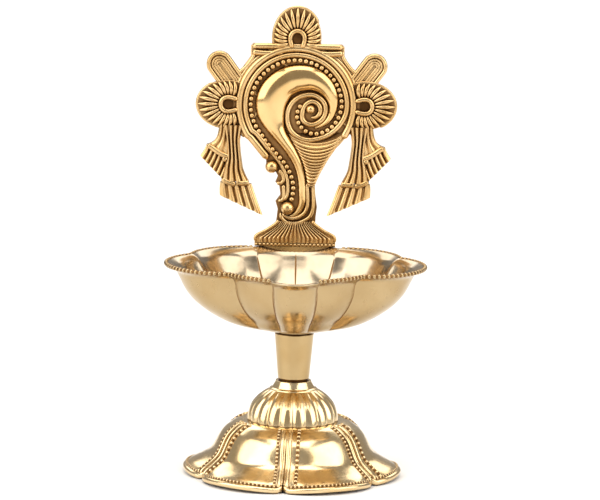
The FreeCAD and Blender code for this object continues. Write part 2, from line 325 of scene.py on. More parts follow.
# %% Petal shell tree
shell_tree, shell_in, shell_out = new_tree("petal_shell", [
    ("Outline", "Object"), ("Around", "Int"), ("Profile", "Object"), ("Levels", "Int"),
    ("Material", "Material")])


def calc(operation, *values):
    return maths(shell_tree, operation, *values)


def read_points(label, index, kind, value):
    """The value that the helper mesh on input label holds at its point number index."""
    info = node(shell_tree, "GeometryNodeObjectInfo", {"Object": shell_in.outputs[label]})
    return node(shell_tree, "GeometryNodeSampleIndex", {
        "Geometry": info.outputs["Geometry"], "Value": value, "Index": index},
        data_type=kind, domain="POINT").outputs["Value"]


def read_place(label, index):
    position = node(shell_tree, "GeometryNodeInputPosition").outputs[0]
    at = read_points(label, index, "FLOAT_VECTOR", position)
    return node(shell_tree, "ShaderNodeSeparateXYZ", {0: at}).outputs


around_in, levels_in = shell_in.outputs["Around"], shell_in.outputs["Levels"]
number = node(shell_tree, "GeometryNodeInputIndex").outputs[0]
column = calc("FLOOR", calc("DIVIDE", calc("ADD", number, 0.5), levels_in))
level = calc("SUBTRACT", number, calc("MULTIPLY", column, levels_in))
petal_x, petal_y, petal_lift = read_place("Outline", calc("MODULO", column, around_in))
full_radius, strength, height = read_place("Profile", level)
lift_name = node(shell_tree, "GeometryNodeInputNamedAttribute", {"Name": "lift"}, data_type="FLOAT")
lift = read_points("Profile", level, "FLOAT", lift_name.outputs["Attribute"])
petal_share = calc("SQRT", calc("ADD", calc("MULTIPLY", petal_x, petal_x),
                                calc("MULTIPLY", petal_y, petal_y)))
# share of the full radius = 1 - strength * (1 - petal share)
share = calc("SUBTRACT", 1.0, calc("MULTIPLY", strength, calc("SUBTRACT", 1.0, petal_share)))
radius = calc("DIVIDE", calc("MULTIPLY", full_radius, share), petal_share)
spot = node(shell_tree, "ShaderNodeCombineXYZ", {
    0: calc("MULTIPLY", petal_x, radius), 1: calc("MULTIPLY", petal_y, radius),
    2: calc("MULTIPLY_ADD", petal_lift, lift, height)})
sheet = node(shell_tree, "GeometryNodeMeshGrid", {
    "Vertices X": calc("ADD", around_in, 1.0), "Vertices Y": levels_in})
moved = node(shell_tree, "GeometryNodeSetPosition", {
    "Geometry": sheet.outputs["Mesh"], "Position": spot.outputs[0]})
welded = node(shell_tree, "GeometryNodeMergeByDistance", {
    "Geometry": moved.outputs[0], "Distance": 1e-6})
end_of_tree(shell_tree, shell_in, shell_out, welded.outputs[0])
print("petal_shell tree:", len(shell_tree.nodes), "nodes")


# %% Outlines from lobes
def arc_through(p, q, r, count):
    """Points on the circle through three points, from p up to but not including r."""
    (ax, ay), (bx, by), (cx, cy) = p, q, r
    aa, bb, cc = ax * ax + ay * ay, bx * bx + by * by, cx * cx + cy * cy
    d = 2 * (ax * (by - cy) + bx * (cy - ay) + cx * (ay - by))
    ux = (aa * (by - cy) + bb * (cy - ay) + cc * (ay - by)) / d
    uy = (aa * (cx - bx) + bb * (ax - cx) + cc * (bx - ax)) / d
    start = math.atan2(ay - uy, ax - ux)
    sweep = (math.atan2(cy - uy, cx - ux) - start) % (2 * math.pi)
    length = math.hypot(ax - ux, ay - uy)
    angles = [start + sweep * k / count for k in range(count)]
    return [(ux + length * math.cos(a), uy + length * math.sin(a)) for a in angles]


def lobed_outline(lobes, per_lobe):
    """lobes: (angle from the front in degrees, share of the full radius), groove and bulge in
    turn."""
    points = [(share * math.sin(math.radians(a)), -share * math.cos(math.radians(a)))
              for a, share in lobes]
    outline = []
    for k in range(0, len(points), 2):
        bulge, groove = points[(k + 1) % len(points)], points[(k + 2) % len(points)]
        outline += arc_through(points[k], bulge, groove, per_lobe)
    return outline


def whole_rows(profile):
    """Adds the share of the lift, which is none where a row doesn't give it."""
    return [(*row, 0.0)[:4] for row in profile]


def petal_shell(name, outline, profile, material, levels, lifts=None):
    """outline: rows (x, y) of shares; lifts: mm raised at each outline point where a level asks for
    it; profile: rows (radius, strength of the petals, height, share of the lift) in mm."""
    lifts = [0.0] * len(outline) if lifts is None else lifts
    rows = smooth_line(whole_rows(profile), levels)
    ring = helper_points(name + "_outline", [(x, y, z * MM) for (x, y), z in zip(outline, lifts)])
    side = helper_points(name + "_profile", [(r * MM, w, z * MM) for r, w, z, _ in rows],
                         rows[:, 3])
    shell = run_tree(name, shell_tree, {
        "Outline": ring, "Around": len(outline), "Profile": side, "Levels": levels,
        "Material": material})
    bpy.data.objects.remove(ring)
    bpy.data.objects.remove(side)
    tidy(shell.data)
    shell.data.shade_smooth()
    return shell


def on_shell(outline_share, lift_at, row):
    """Radius and height in mm of a shell point: its share, its lift and its profile row."""
    radius, strength, height, lifted = row
    return radius * (1 - strength * (1 - outline_share)), height + lift_at * lifted


def turned(radius, angle, z):
    """The point at a radius and an angle from the front in degrees."""
    return radius * math.sin(math.radians(angle)), -radius * math.cos(math.radians(angle)), z


# %% [markdown]
# ## Geometry Nodes: beads and ridges along a path
# Rows of little beads and rounded ridges run all over the casting. Both follow a line, so each gets
# a small tree: one drops a low sphere every so many millimetres, the other sweeps a round section
# that can thin out towards its ends. Half of each is sunk in the metal, as a cast bead is.

# %% Bead and ridge trees
def start_of_path(tree, tree_in, step):
    curve = node(tree, "GeometryNodeMeshToCurve", {0: tree_in.outputs["Geometry"]})
    bent = node(tree, "GeometryNodeCurveSplineType", {0: curve.outputs[0]},
                spline_type="CATMULL_ROM")
    return node(tree, "GeometryNodeResampleCurve", {
        "Curve": bent.outputs[0], "Length": tree_in.outputs[step]}, mode="LENGTH").outputs[0]


bead_tree, bead_in, bead_out = new_tree("bead_row", [
    ("Pitch", "Float"), ("Bead radius", "Float"), ("Material", "Material")])
ball_mesh = node(bead_tree, "GeometryNodeMeshUVSphere", {
    "Segments": 10, "Rings": 6, "Radius": bead_in.outputs["Bead radius"]})
dropped = node(bead_tree, "GeometryNodeInstanceOnPoints", {
    "Points": start_of_path(bead_tree, bead_in, "Pitch"), "Instance": ball_mesh.outputs["Mesh"]})
end_of_tree(bead_tree, bead_in, bead_out, dropped.outputs[0])

BLUNT = 0.003         # share of the path that keeps a ridge's very ends from closing to a point
ridge_tree, ridge_in, ridge_out = new_tree("ridge_line", [
    ("Step", "Float"), ("Ridge radius", "Float"), ("Thin end share", "Float"),
    ("Material", "Material")])


def along_ridge(operation, *values):
    return maths(ridge_tree, operation, *values)


along = node(ridge_tree, "GeometryNodeSplineParameter").outputs["Factor"]
from_end = along_ridge("MINIMUM", along, along_ridge("SUBTRACT", 1.0, along))
thin_part = along_ridge("ADD", ridge_in.outputs["Thin end share"], BLUNT)
fading = along_ridge("MINIMUM", 1.0, along_ridge(
    "DIVIDE", along_ridge("ADD", from_end, BLUNT), thin_part))
girth = node(ridge_tree, "GeometryNodeSetCurveRadius", {
    "Curve": start_of_path(ridge_tree, ridge_in, "Step"),
    "Radius": along_ridge("POWER", fading, 0.5)})
section = node(ridge_tree, "GeometryNodeCurvePrimitiveCircle", {
    "Resolution": 12, "Radius": ridge_in.outputs["Ridge radius"]})
swept = node(ridge_tree, "GeometryNodeCurveToMesh", {
    "Curve": girth.outputs[0], "Profile Curve": section.outputs[0], "Fill Caps": True,
    "Scale": node(ridge_tree, "GeometryNodeInputRadius").outputs[0]})
end_of_tree(ridge_tree, ridge_in, ridge_out, swept.outputs[0])


def path_mesh(paths):
    verts, edges = [], []
    for path in paths:
        start = len(verts)
        verts += [tuple(np.array(p, float) * MM) for p in path]
        edges += [(start + k, start + k + 1) for k in range(len(path) - 1)]
    mesh = bpy.data.meshes.new("paths")
    mesh.from_pydata(verts, edges, [])
    return mesh


def beads(name, paths, pitch, radius, material):
    row = run_tree(name, bead_tree, {
        "Pitch": pitch * MM, "Bead radius": radius * MM, "Material": material}, path_mesh(paths))
    print(f"{name}: {len(row.data.polygons)} faces")
    return row


def ridges(name, paths, radius, material, thin, step=0.5):
    """thin is the share of the path over which each end of a ridge thins out."""
    line = run_tree(name, ridge_tree, {
        "Step": step * MM, "Ridge radius": radius * MM, "Thin end share": thin,
        "Material": material}, path_mesh(paths))
    tidy(line.data)
    line.data.shade_smooth()
    print(f"{name}: {len(line.data.polygons)} faces")
    return line


def beaded(name, paths, pitch, radius, material):
    """A bead row lying on a thinner dark line, so the gaps between the beads are dark: painted
    shade, with old tarnish.
    """
    row = beads(name, paths, pitch, radius, material)
    under = ridges(name + "_gaps", paths, radius * 0.8, gap_shade_and_patina, thin=0.02, step=0.6)
    return [row, under]


# %% [markdown]
# ## Foot
# The foot is a thin casting with six petals. Its lip lifts at the middle of each petal, arches up a
# little over each groove, and touches the table on both sides of it. Down each groove runs a double
# ridge with a row of beads on either side, and another row follows the lip. The shell tree makes
# the casting; the rows follow lines that are worked out from the same outline and profile, so they
# stay on the metal.

# %% Foot shell
FOOT_TURN = -5.0
PETALS = 6
PER_PETAL = 44
GROOVE_SHARE = 0.862
PETAL_RISE = 1.45
LIP_LENGTH = 38.0     # mm along the lip from one groove to the next
ARCH_REACH, ARCH_RISE = 2.4, 1.2
step_deg = 360.0 / PETALS
foot_outline, foot_lifts = [], []
for k in range(PETALS):
    for j in range(PER_PETAL):
        t = 0.5 - 0.5 * math.cos(math.pi * j / PER_PETAL)
        wide = GROOVE_SHARE + (1 - GROOVE_SHARE) * math.sin(math.pi * t) ** 0.45
        foot_outline.append(turned(wide, (k + t) * step_deg + FOOT_TURN, 0.0)[:2])
        from_groove = min(t, 1 - t) * LIP_LENGTH
        arch = ARCH_RISE * math.cos(math.pi * min(from_groove / ARCH_REACH, 1.0) / 2)
        foot_lifts.append(max(PETAL_RISE * math.sin(math.pi * t) ** 0.8, arch))


def foot_row(r_tip, r_groove, z, lifted=0.0):
    """A row of the foot's profile from its radius at a petal's tip and in a groove."""
    return (r_tip, (1 - r_groove / r_tip) / (1 - GROOVE_SHARE), z, lifted)


foot_outside = [foot_row(*row) for row in (
    (15.0, 15.0, 21.8), (19.6, 19.6, 21.75), (21.2, 21.0, 21.3), (22.8, 22.2, 20.7),
    (24.7, 23.8, 19.5), (26.4, 25.2, 18.2), (27.7, 26.4, 16.8), (28.8, 27.3, 15.2),
    (29.7, 28.0, 13.6), (30.5, 28.7, 12.0), (31.3, 29.4, 10.4, 0.08), (32.3, 30.2, 9.0, 0.1),
    (33.6, 31.1, 7.85, 0.15), (36.1, 32.8, 6.1, 0.35), (38.0, 34.0, 4.85, 0.55),
    (39.6, 35.0, 3.75, 0.75), (41.0, 35.8, 2.65, 0.9), (41.7, 36.2, 2.05, 1.0),
    (42.4, 36.6, 1.7, 1.0), (42.8, 36.9, 1.25, 1.0), (42.8, 36.9, 0.7, 1.0),
    (42.4, 36.7, -0.1, 1.0), (41.7, 36.5, -0.33, 1.0))]
foot_inside = [foot_row(*row) for row in (
    (40.2, 36.1, -0.33, 0.95), (38.6, 35.2, 0.2, 0.85), (37.2, 34.3, 0.9, 0.65),
    (36.2, 33.4, 2.2, 0.4), (34.2, 31.5, 4.5, 0.15), (31.6, 29.6, 6.5), (30.2, 28.2, 8.2),
    (29.0, 27.0, 10.5), (27.4, 25.8, 13.6), (25.0, 24.0, 16.8), (22.0, 21.6, 18.9),
    (19.2, 19.0, 20.2), (16.0, 16.0, 20.3), (9.0, 9.0, 20.3), (3.4, 3.4, 20.3), (3.2, 3.2, 20.5),
    (3.2, 3.2, 21.6), (3.5, 3.5, 21.8), (9.0, 9.0, 21.8), (15.0, 15.0, 21.8))]
foot_shell = petal_shell("foot_shell", foot_outline, foot_outside + foot_inside, foot_brass, 200,
                         foot_lifts)
print("foot shell", len(foot_shell.data.polygons), "faces")

# %% Foot ridges and beads
FOOT_STEPS = 220
RIDGE_OFFSET, BEAD_OFFSET, CHAIN_OFFSET = 1.45, -3.1, 4.5    # mm sideways from the groove
LIP_AT = 0.745        # share of the way down the outside where the lip's beads lie
foot_profile = smooth_line(foot_outside, FOOT_STEPS)
outline_angles = [math.degrees(math.atan2(x, -y)) for x, y in foot_outline]
outline_shares = [math.hypot(x, y) for x, y in foot_outline]


def foot_share(angle):
    """Share of the full radius and lift at an angle from the front, in degrees."""
    return (float(np.interp(angle, outline_angles, outline_shares, period=360.0)),
            float(np.interp(angle, outline_angles, foot_lifts, period=360.0)))


def foot_line(groove, offset, first, last, proud, count=30):
    """A line down the foot, offset mm sideways from groove number groove; first and last are
    shares of the way down the profile."""
    line = []
    for down in first + (last - first) * np.arange(count) / (count - 1):
        row = foot_profile[int(down * (FOOT_STEPS - 1))]
        angle = groove * step_deg + FOOT_TURN
        r, _ = on_shell(*foot_share(angle), row)
        angle += math.degrees(offset / r)
        r, z = on_shell(*foot_share(angle), row)
        line.append(turned(r + proud, angle, z + 0.3 * proud))
    return line


ridge_lines = [foot_line(g, side * RIDGE_OFFSET, 0.06, 0.80, 0.15)
               for g in range(PETALS) for side in (-1, 1)]
foot_ridges = ridges("foot_ridges", ridge_lines, 0.72, foot_brass, thin=0.04)
bead_lines = [foot_line(g, BEAD_OFFSET, 0.09, 0.72, 0.05) for g in range(PETALS)]
foot_beads = beaded("foot_beads", bead_lines, 1.6, 0.6, foot_brass)
chain_lines = [foot_line(g, CHAIN_OFFSET, 0.09, 0.72, 0.0) for g in range(PETALS)]
chain_beads = beaded("chain_beads", chain_lines, 1.95, 0.78, foot_brass)
lip_row = foot_profile[int(LIP_AT * (FOOT_STEPS - 1))]
lip_line = []
for k in range(0, len(foot_outline) + 1, 2):
    k %= len(foot_outline)
    (x, y), share = foot_outline[k], outline_shares[k]
    r, z = on_shell(share, foot_lifts[k], lip_row)
    lip_line.append((x / share * r, y / share * r, z + 0.05))
lip_beads = beaded("lip_beads", [lip_line], 1.6, 0.55, foot_brass)

# %% [markdown]
# ## Fluted dome
# The cap on the foot is a hollow dome of twenty rounded flutes under a plain collar. It is the same
# shell tree with twenty equal lobes: the flutes stand out most at the bottom, where their ends hang
# over the foot, and fade into the collar.

# %% Dome
FLUTES = 20
flute_lobes = []
for k in range(FLUTES):
    flute_lobes += [(k * 360.0 / FLUTES, 0.95), ((k + 0.5) * 360.0 / FLUTES, 1.0)]
dome_inside = [(3.05, 0, 33.5), (6.0, 0, 33.0), (9.0, 0, 31.4), (12.0, 0, 28.4), (14.6, 0, 24.6),
               (15.1, 0, 22.2), (15.4, 0, 21.85)]
dome_flutes = [(16.8, 0.8, 21.82), (17.8, 1.0, 21.83), (17.98, 1.0, 21.95), (17.9, 1.0, 22.7),
               (17.6, 1.0, 24.3), (17.0, 1.0, 26.3), (15.9, 1.0, 28.5), (14.2, 1.0, 30.5),
               (12.9, 0.95, 31.7), (11.4, 0.8, 32.8), (10.3, 0.5, 33.5), (9.7, 0.15, 33.85)]
dome_collar = [(9.4, 0, 34.0), (9.2, 0, 34.35), (8.7, 0, 34.55), (8.4, 0, 34.7), (8.1, 0, 35.1),
               (7.75, 0, 35.7), (7.3, 0, 36.5), (7.0, 0, 37.15), (6.7, 0, 37.4), (4.5, 0, 37.4),
               (3.05, 0, 37.4), (3.05, 0, 35.5), (3.05, 0, 33.5)]
dome_shell = petal_shell("dome_shell", lobed_outline(flute_lobes, 14),
                         dome_inside + dome_flutes + dome_collar, foot_brass, 150)
print("dome", len(dome_shell.data.polygons), "faces")

# %% [markdown]
# ## Turned and threaded pieces
# The stem is turned on a lathe, so its mesh is one profile carried round the axis, with small
# rounded corners that catch the light. The rod and the spigot are threaded: the same idea, with the
# radius rising and falling along a helix of one millimetre pitch, so the thread shows when the stem
# or the bowl is unscrewed.

# %% Turned pieces
def ring_row(radii, z, count):
    """A level ring of points; radii is one radius or one for each point."""
    turn = np.linspace(0, 2 * math.pi, count, endpoint=False)
    return np.stack([radii * np.cos(turn), radii * np.sin(turn), np.full(count, z)], axis=1)


def lathe(name, profile, material):
    return skin(name, [ring_row(r, z, 96) for r, z in profile], material)


def rounded(profile, cut):
    """Each corner of the profile becomes a short curve that starts cut mm before it."""
    p = [np.array(q, float) for q in profile]
    out = [p[0]]
    for before, here, after in zip(p, p[1:], p[2:]):
        long_a, long_b = np.linalg.norm(before - here), np.linalg.norm(after - here)
        trim = min(cut, long_a / 3, long_b / 3)
        a = here + (before - here) / long_a * trim
        b = here + (after - here) / long_b * trim
        out += [(1 - t) ** 2 * a + 2 * t * (1 - t) * here + t ** 2 * b
                for t in (0.0, 0.33, 0.67, 1.0)]
    out.append(p[-1])
    return [tuple(q) for q in out]


PITCH, DEPTH = 1.0, 0.5
THREAD_AROUND = 48
RUN_OUT = 0.8         # mm over which a thread fades in and out
CORE = 0.3            # radius in mm of the little flat that closes each end


def threaded(name, radius, low, high, material):
    rows = [ring_row(CORE, low, THREAD_AROUND)]
    for z in np.arange(low, high + 1e-6, PITCH / 8):
        fade = min(1.0, (z - low) / RUN_OUT, (high - z) / RUN_OUT)
        phase = (z / PITCH - np.arange(THREAD_AROUND) / THREAD_AROUND) % 1.0
        cut = DEPTH * np.clip(2.4 * abs(phase - 0.5) - 0.15, 0.0, 1.0)
        if fade <= 0:
            cut, fade = 0.0, 0.0
        rows.append(ring_row(radius - 0.02 - DEPTH * (1 - fade) - cut * fade, z, THREAD_AROUND))
    rows.append(ring_row(CORE, high, THREAD_AROUND))
    return skin(name, rows, material)


STEM_LOW, STEM_HIGH = 38.3, 56.2
stem_corners = [(3.05, 47.5), (3.05, STEM_LOW), (6.2, STEM_LOW), (7.7, STEM_HIGH),
                (4.05, STEM_HIGH), (4.05, 49.0), (CORE, 49.0)]
stem_turned = lathe("stem_turned", [(CORE, 47.5)] + rounded(stem_corners, 0.3), mirror_brass)
rod_thread = threaded("rod_thread", 3.0, 14.0, 46.5, machined_brass)
spigot_thread = threaded("spigot_thread", 4.0, 49.5, 57.5, machined_brass)
print("stem", len(stem_turned.data.polygons), "faces; rod", len(rod_thread.data.polygons), "faces")

# %% [markdown]
# ## Oil bowl
# The bowl is pressed and chased into eight lobes of different width, with a narrow spout at the
# front for the wick. The lobes fade out towards the stem. Its inside, every face that looks up, has
# a paler brass than the outside: painted light. Its lip flares out and carries a milled row of
# beads, but not on the spout nor under the foot of the back plate.

# %% Bowl shell
# groove and bulge in turn: angle from the front in degrees, share of the full radius
LOBES = [(15.5, 0.715), (32.0, 0.69), (49.5, 0.675), (88.0, 1.0), (116.0, 0.912), (132.0, 0.957),
         (157.0, 0.865), (180.0, 0.90), (203.0, 0.865), (228.0, 0.957), (244.0, 0.912),
         (272.0, 1.0), (310.5, 0.675), (328.0, 0.69), (344.5, 0.715), (360.0, 0.835)]
PER_LOBE = 36
SPOUT = 7             # the lobe that is the spout, counted from 0
SPOUT_DIP = -0.3
bowl_outline = lobed_outline(LOBES, PER_LOBE)
bowl_lifts = [0.0] * len(bowl_outline)
for k in range(PER_LOBE):
    bowl_lifts[SPOUT * PER_LOBE + k] = SPOUT_DIP * math.sin(math.pi * k / PER_LOBE) ** 0.7
bowl_outside = [(0.3, 0, 56.72), (4.0, 0, 56.7), (7.3, 0, 56.72), (7.8, 0, 57.1),
                (11.5, 0.15, 57.7), (18.2, 0.5, 58.6), (24.6, 0.8, 60.0), (29.9, 1.0, 62.2),
                (35.2, 1.0, 65.4), (39.5, 1.0, 68.9), (42.8, 1.0, 72.9, 0.1),
                (45.2, 1.0, 77.6, 0.5), (46.6, 1.0, 80.1, 0.8), (48.4, 1.0, 81.3, 1.0),
                (49.9, 1.0, 81.9, 1.0), (50.8, 1.0, 82.3, 1.0), (50.9, 1.0, 82.8, 1.0)]
bowl_inside = [(50.4, 1.0, 83.05, 1.0), (49.5, 1.0, 82.95, 1.0), (47.6, 1.0, 82.0, 1.0),
               (45.6, 1.0, 80.4, 0.8), (43.6, 1.0, 77.5, 0.5), (40.8, 1.0, 73.6, 0.1),
               (37.4, 1.0, 70.0), (33.0, 1.0, 66.9), (27.9, 1.0, 64.3), (22.8, 0.9, 62.4),
               (17.4, 0.6, 61.3), (11.0, 0.2, 60.5), (7.0, 0, 60.25), (0.3, 0, 60.2)]
bowl_shell = petal_shell("bowl_shell", bowl_outline, bowl_outside + bowl_inside, bowl_brass, 180,
                         bowl_lifts)
# the inside is every face that looks up; its paler brass is painted light
bowl_shell.data.materials.clear()
for finish in (bowl_brass, basin_painted_light):
    bowl_shell.data.materials.append(finish)
for face in bowl_shell.data.polygons:
    face.material_index = int(face.normal.z > 0)
print("bowl", len(bowl_shell.data.polygons), "faces")

# %% Milled rim
RIM_RADIUS, RIM_HEIGHT = 50.35, 82.72
rim_right, rim_left = [], []
for x, y in bowl_outline[:SPOUT * PER_LOBE + 1]:
    under_plate = y > 0.75 and abs(x) < 0.34
    if not under_plate:
        side = rim_right if x > 0 else rim_left
        side.append((x * RIM_RADIUS, y * RIM_RADIUS, RIM_HEIGHT))
rim_beads = beaded("rim_beads", [rim_right[::2], rim_left[::2]], 1.95, 0.9, bowl_brass)

# %% Creases
def bowl_line(angle, share, rows, first, last, proud):
    """A line along the bowl at one angle; first and last are shares of the way along rows, and
    proud is mm outward from the shell."""
    line = []
    for k in np.linspace(first, last, 26):
        r, z = on_shell(share, 0.0, rows[int(k * (len(rows) - 1))])
        line.append(turned(r + proud, angle, z))
    return line


outside_rows = smooth_line(whole_rows(bowl_outside), 120)
inside_rows = smooth_line(whole_rows(bowl_inside), 120)
grooves = LOBES[::2]
# dark lines along the grooves, outside and inside: painted shade in the creases
crease_lines = [bowl_line(a, share, outside_rows, 0.36, 0.76, -0.22) for a, share in grooves]
crease_lines += [bowl_line(a, share, inside_rows, 0.22, 0.55, 0.22) for a, share in grooves[2:6]]
crease_lines += [bowl_line(180.0, 0.90, inside_rows, 0.22, 0.52, 0.16)]
bowl_creases = ridges("bowl_creases", crease_lines, 0.36, gap_shade_and_patina, thin=0.3, step=0.6)

# %% Bracket behind the rim
BRACKET_HALF = 13.0
bracket_rows = []
for x, cut in ((-BRACKET_HALF, 0.2), (0.2 - BRACKET_HALF, 0.0), (BRACKET_HALF - 0.2, 0.0),
               (BRACKET_HALF, 0.2)):
    front, rear, under, top = 41.5 + cut, 44.5 - cut, 79.65 + cut, 83.0 - cut
    bracket_rows.append([(x, front, under), (x, rear, under), (x, rear, top), (x, front, top)])
bowl_bracket = skin("bowl_bracket", bracket_rows, bowl_brass)
bowl_bracket.data.shade_flat()

# %% [markdown]
# ## Back plate
# The plate is one casting in relief. Sizes are set on its face: u runs to the right and v up from
# the bottom of its foot, and the height h stands out towards the viewer. Its parts have different
# characters, so each is made its own way: flat slabs with rounded edges for the silhouette, skins
# laid between two given edges for the conch, its ringed tip and the pleated ribbons, and swept
# ridges and bead rows for the mouldings.

# %% Plate helpers
PLATE_Z = 82.5
PLATE_U = -0.5
PLATE_FRONT = 41.5
PLATE_THICK = 3.0
DISC = (-0.5, 57.4)


def on_plate(u, v, h):
    return (u + PLATE_U, PLATE_FRONT - h, PLATE_Z + v)


def raised(points, h):
    return [on_plate(u, v, h) for u, v in points]


def plate_ridges(name, lines, radius, thin, step=0.5):
    """Ridges on the face of the plate; lines is (height, points) for each."""
    paths = [raised(points, h) for h, points in lines]
    return ridges(name, paths, radius, cast_brass, thin, step)


def mirror(points):
    return [(-u, v) for u, v in points]


def shifted(points, by):
    return [(u + by, v) for u, v in points]


def arc(u, v, radius, start, end, count):
    """Points from one angle to the other, both included, in degrees up from the right."""
    return [(u + radius * math.cos(a), v + radius * math.sin(a))
            for a in np.radians(np.linspace(start, end, count))]


def circle(u, v, radius, count=96):
    return arc(u, v, radius, 0.0, 360.0, count + 1)[:-1]


def slab(name, outline, top, material, bevel=0.35, low=-PLATE_THICK):
    """Flat shape with rounded edges; outline is (u, v) all the way round, top is its height h."""
    curve = bpy.data.curves.new(name, "CURVE")
    curve.dimensions = "2D"
    curve.fill_mode = "BOTH"
    spline = curve.splines.new("POLY")
    spline.points.add(len(outline) - 1)
    for point, (u, v) in zip(spline.points, outline):
        point.co = (u * MM, v * MM, 0.0, 1.0)
    spline.use_cyclic_u = True
    curve.extrude = ((top - low) / 2 - bevel) * MM
    curve.bevel_depth = bevel * MM
    curve.bevel_resolution = 3
    curve.offset = -bevel * MM
    mesh = finished_mesh(add(name, curve))
    middle = PLATE_FRONT - (top + low) / 2
    mesh.transform(Matrix(((1, 0, 0, PLATE_U * MM), (0, 0, -1, middle * MM),
                           (0, 1, 0, PLATE_Z * MM), (0, 0, 0, 1))))
    tidy(mesh)
    mesh.shade_smooth()
    mesh.set_sharp_from_angle(angle=math.radians(40))
    return place(name, mesh, material)


def relief(name, left, right, heights, material, along, across, wave=None, fullness=0.5,
           base=-0.7, sags=(0.0, 0.0)):
    """Closed skin between two edges given as (u, v) stations, swelling to the stated heights.
    fullness 0.5 is a round section, less is flatter on top; wave(s, t) adds pleats or rings;
    sags bends each row down in the middle."""
    edge_a, edge_b = smooth_line(left, along), smooth_line(right, along)
    swell = smooth_line([[h] for h in heights], along)[:, 0]
    droop = smooth_line([[d] for d in sags], along)[:, 0]
    rows = []
    for k in range(along):
        def at(t):
            u, v = edge_a[k] + (edge_b[k] - edge_a[k]) * t
            return u, v - droop[k] * 4 * t * (1 - t)

        row = []
        for c in range(across + 1):
            t = 0.5 - 0.5 * math.cos(math.pi * c / across)
            h = swell[k] * max(4 * t * (1 - t), 0.0) ** fullness
            if wave:
                h += wave(k / (along - 1), t)
            row.append(on_plate(*at(t), h))
        rows.append(row + [on_plate(*at(t), base) for t in (1.0, 0.75, 0.5, 0.25, 0.0)])
    made = skin(name, rows, material)
    made.data.set_sharp_from_angle(angle=math.radians(50))
    return made


# %% Silhouette slabs
body_edge = [(-20.5, 46.0), (-16.0, 39.8), (-12.0, 35.0), (-12.0, 32.6), (-10.4, 30.6),
             (-8.2, 30.6), (-7.2, 28.8), (-8.2, 26.4), (-6.6, 24.8), (-6.1, 21.2), (-8.0, 18.7),
             (-7.1, 15.6), (-7.4, 12.5), (-7.8, 9.2), (7.9, 9.2), (8.1, 12.9), (8.5, 16.5),
             (7.9, 20.6), (7.3, 25.4), (8.7, 28.6), (14.3, 38.7), (19.6, 46.6)]
shoulder_edge = [(-18.8, 76.5), (-18.8, 80.6), (-17.9, 81.6), (17.3, 81.6), (18.2, 80.6),
                 (18.2, 76.5), (24.0, 69.0), (24.0, 60.0), (-24.0, 60.0), (-24.0, 69.0)]
# no two tops or bottoms are level, so that faces never lie in one plane
plate_slabs = [
    slab("slab_disc", circle(*DISC, 23.5), -0.25, cast_brass),
    # the channel round the disc and the body under the conch are dark: patina and painted shade
    slab("slab_channel", circle(*DISC, 22.4), 0.0, recess_patina_and_shade, bevel=0.1, low=-1.2),
    slab("slab_body", body_edge, -0.1, recess_patina_and_shade, low=-2.0),
    slab("slab_body_back", body_edge, -1.2, cast_brass, low=-2.95),
    slab("slab_shoulder", shoulder_edge, -0.4, cast_brass, low=-2.9),
]
print(len(plate_slabs), "slabs")

# %% [markdown]
# ### Frame, beads and spiral
# A double moulding runs round the disc. On the left it comes down straight and ends in a ball; on
# the right it turns in under the conch and winds up as the spiral. A row of beads keeps it company
# all the way, first outside the conch and then inside the spiral.

# %% Frame ridges
outer_arc = [(-11.4, 35.9), (-14.2, 39.3), (-18.0, 43.9)]
outer_arc += arc(*DISC, 22.6, 213, -28, 40) + [(18.2, 44.4)]
inner_arc = [(-9.2, 37.2), (-12.0, 40.9), (-15.6, 45.4)] + arc(*DISC, 20.1, 211, 2, 36)
inner_arc += [(19.2, 54.6), (17.6, 51.0), (14.9, 47.8), (11.6, 45.4), (8.0, 44.1), (4.4, 43.6),
              (0.8, 44.6), (-2.2, 47.0), (-3.7, 50.4), (-3.9, 54.4), (-2.6, 57.8), (-0.2, 60.2),
              (2.8, 61.5), (6.0, 61.7), (8.7, 60.5), (10.7, 58.4), (11.2, 55.6), (10.4, 52.8),
              (8.5, 50.8), (6.0, 49.8), (3.6, 50.3), (2.1, 51.9), (1.9, 54.2), (2.6, 56.6),
              (3.8, 58.2), (5.6, 59.0), (7.5, 58.5), (8.9, 56.8), (8.9, 54.6), (7.5, 52.9),
              (5.6, 52.6)]
edge_arc = arc(*DISC, 24.2, 213, -28, 40)
frame_outer = plate_ridges("frame_outer", [(0.1, outer_arc)], 1.5, thin=0.01)
frame_inner = plate_ridges("frame_inner", [(0.5, inner_arc)], 1.1, thin=0.02)
frame_edge = plate_ridges("frame_edge", [(-0.6, edge_arc)], 0.9, thin=0.01)

# %% Bead rows on the plate
bead_path = [(-1.6, 19.7), (-1.1, 22.6), (-1.1, 25.2), (-1.7, 28.2), (-2.8, 31.0), (-4.4, 33.7),
             (-6.4, 36.2), (-8.6, 38.6), (-10.9, 41.2), (-13.1, 44.0)]
bead_path += arc(*DISC, 18.0, 222, 0, 40)
bead_path += [(16.6, 53.6), (15.0, 50.4), (12.4, 47.9), (9.4, 46.5), (6.2, 46.2), (3.4, 47.2),
              (1.2, 49.2), (0.0, 51.8), (0.0, 54.6), (1.0, 57.0)]
plate_beads = beads("plate_beads", [raised(bead_path, 0.7)], 2.25, 1.03, cast_brass)

# %% [markdown]
# ### Conch
# The conch is a horn that is widest at the left, sweeps over the top and thins away into the
# spiral; its lip runs down as a tongue. The skin is laid between its outer and inner edge, and
# stands highest where it is widest. Its tip is a cone cut with rings.

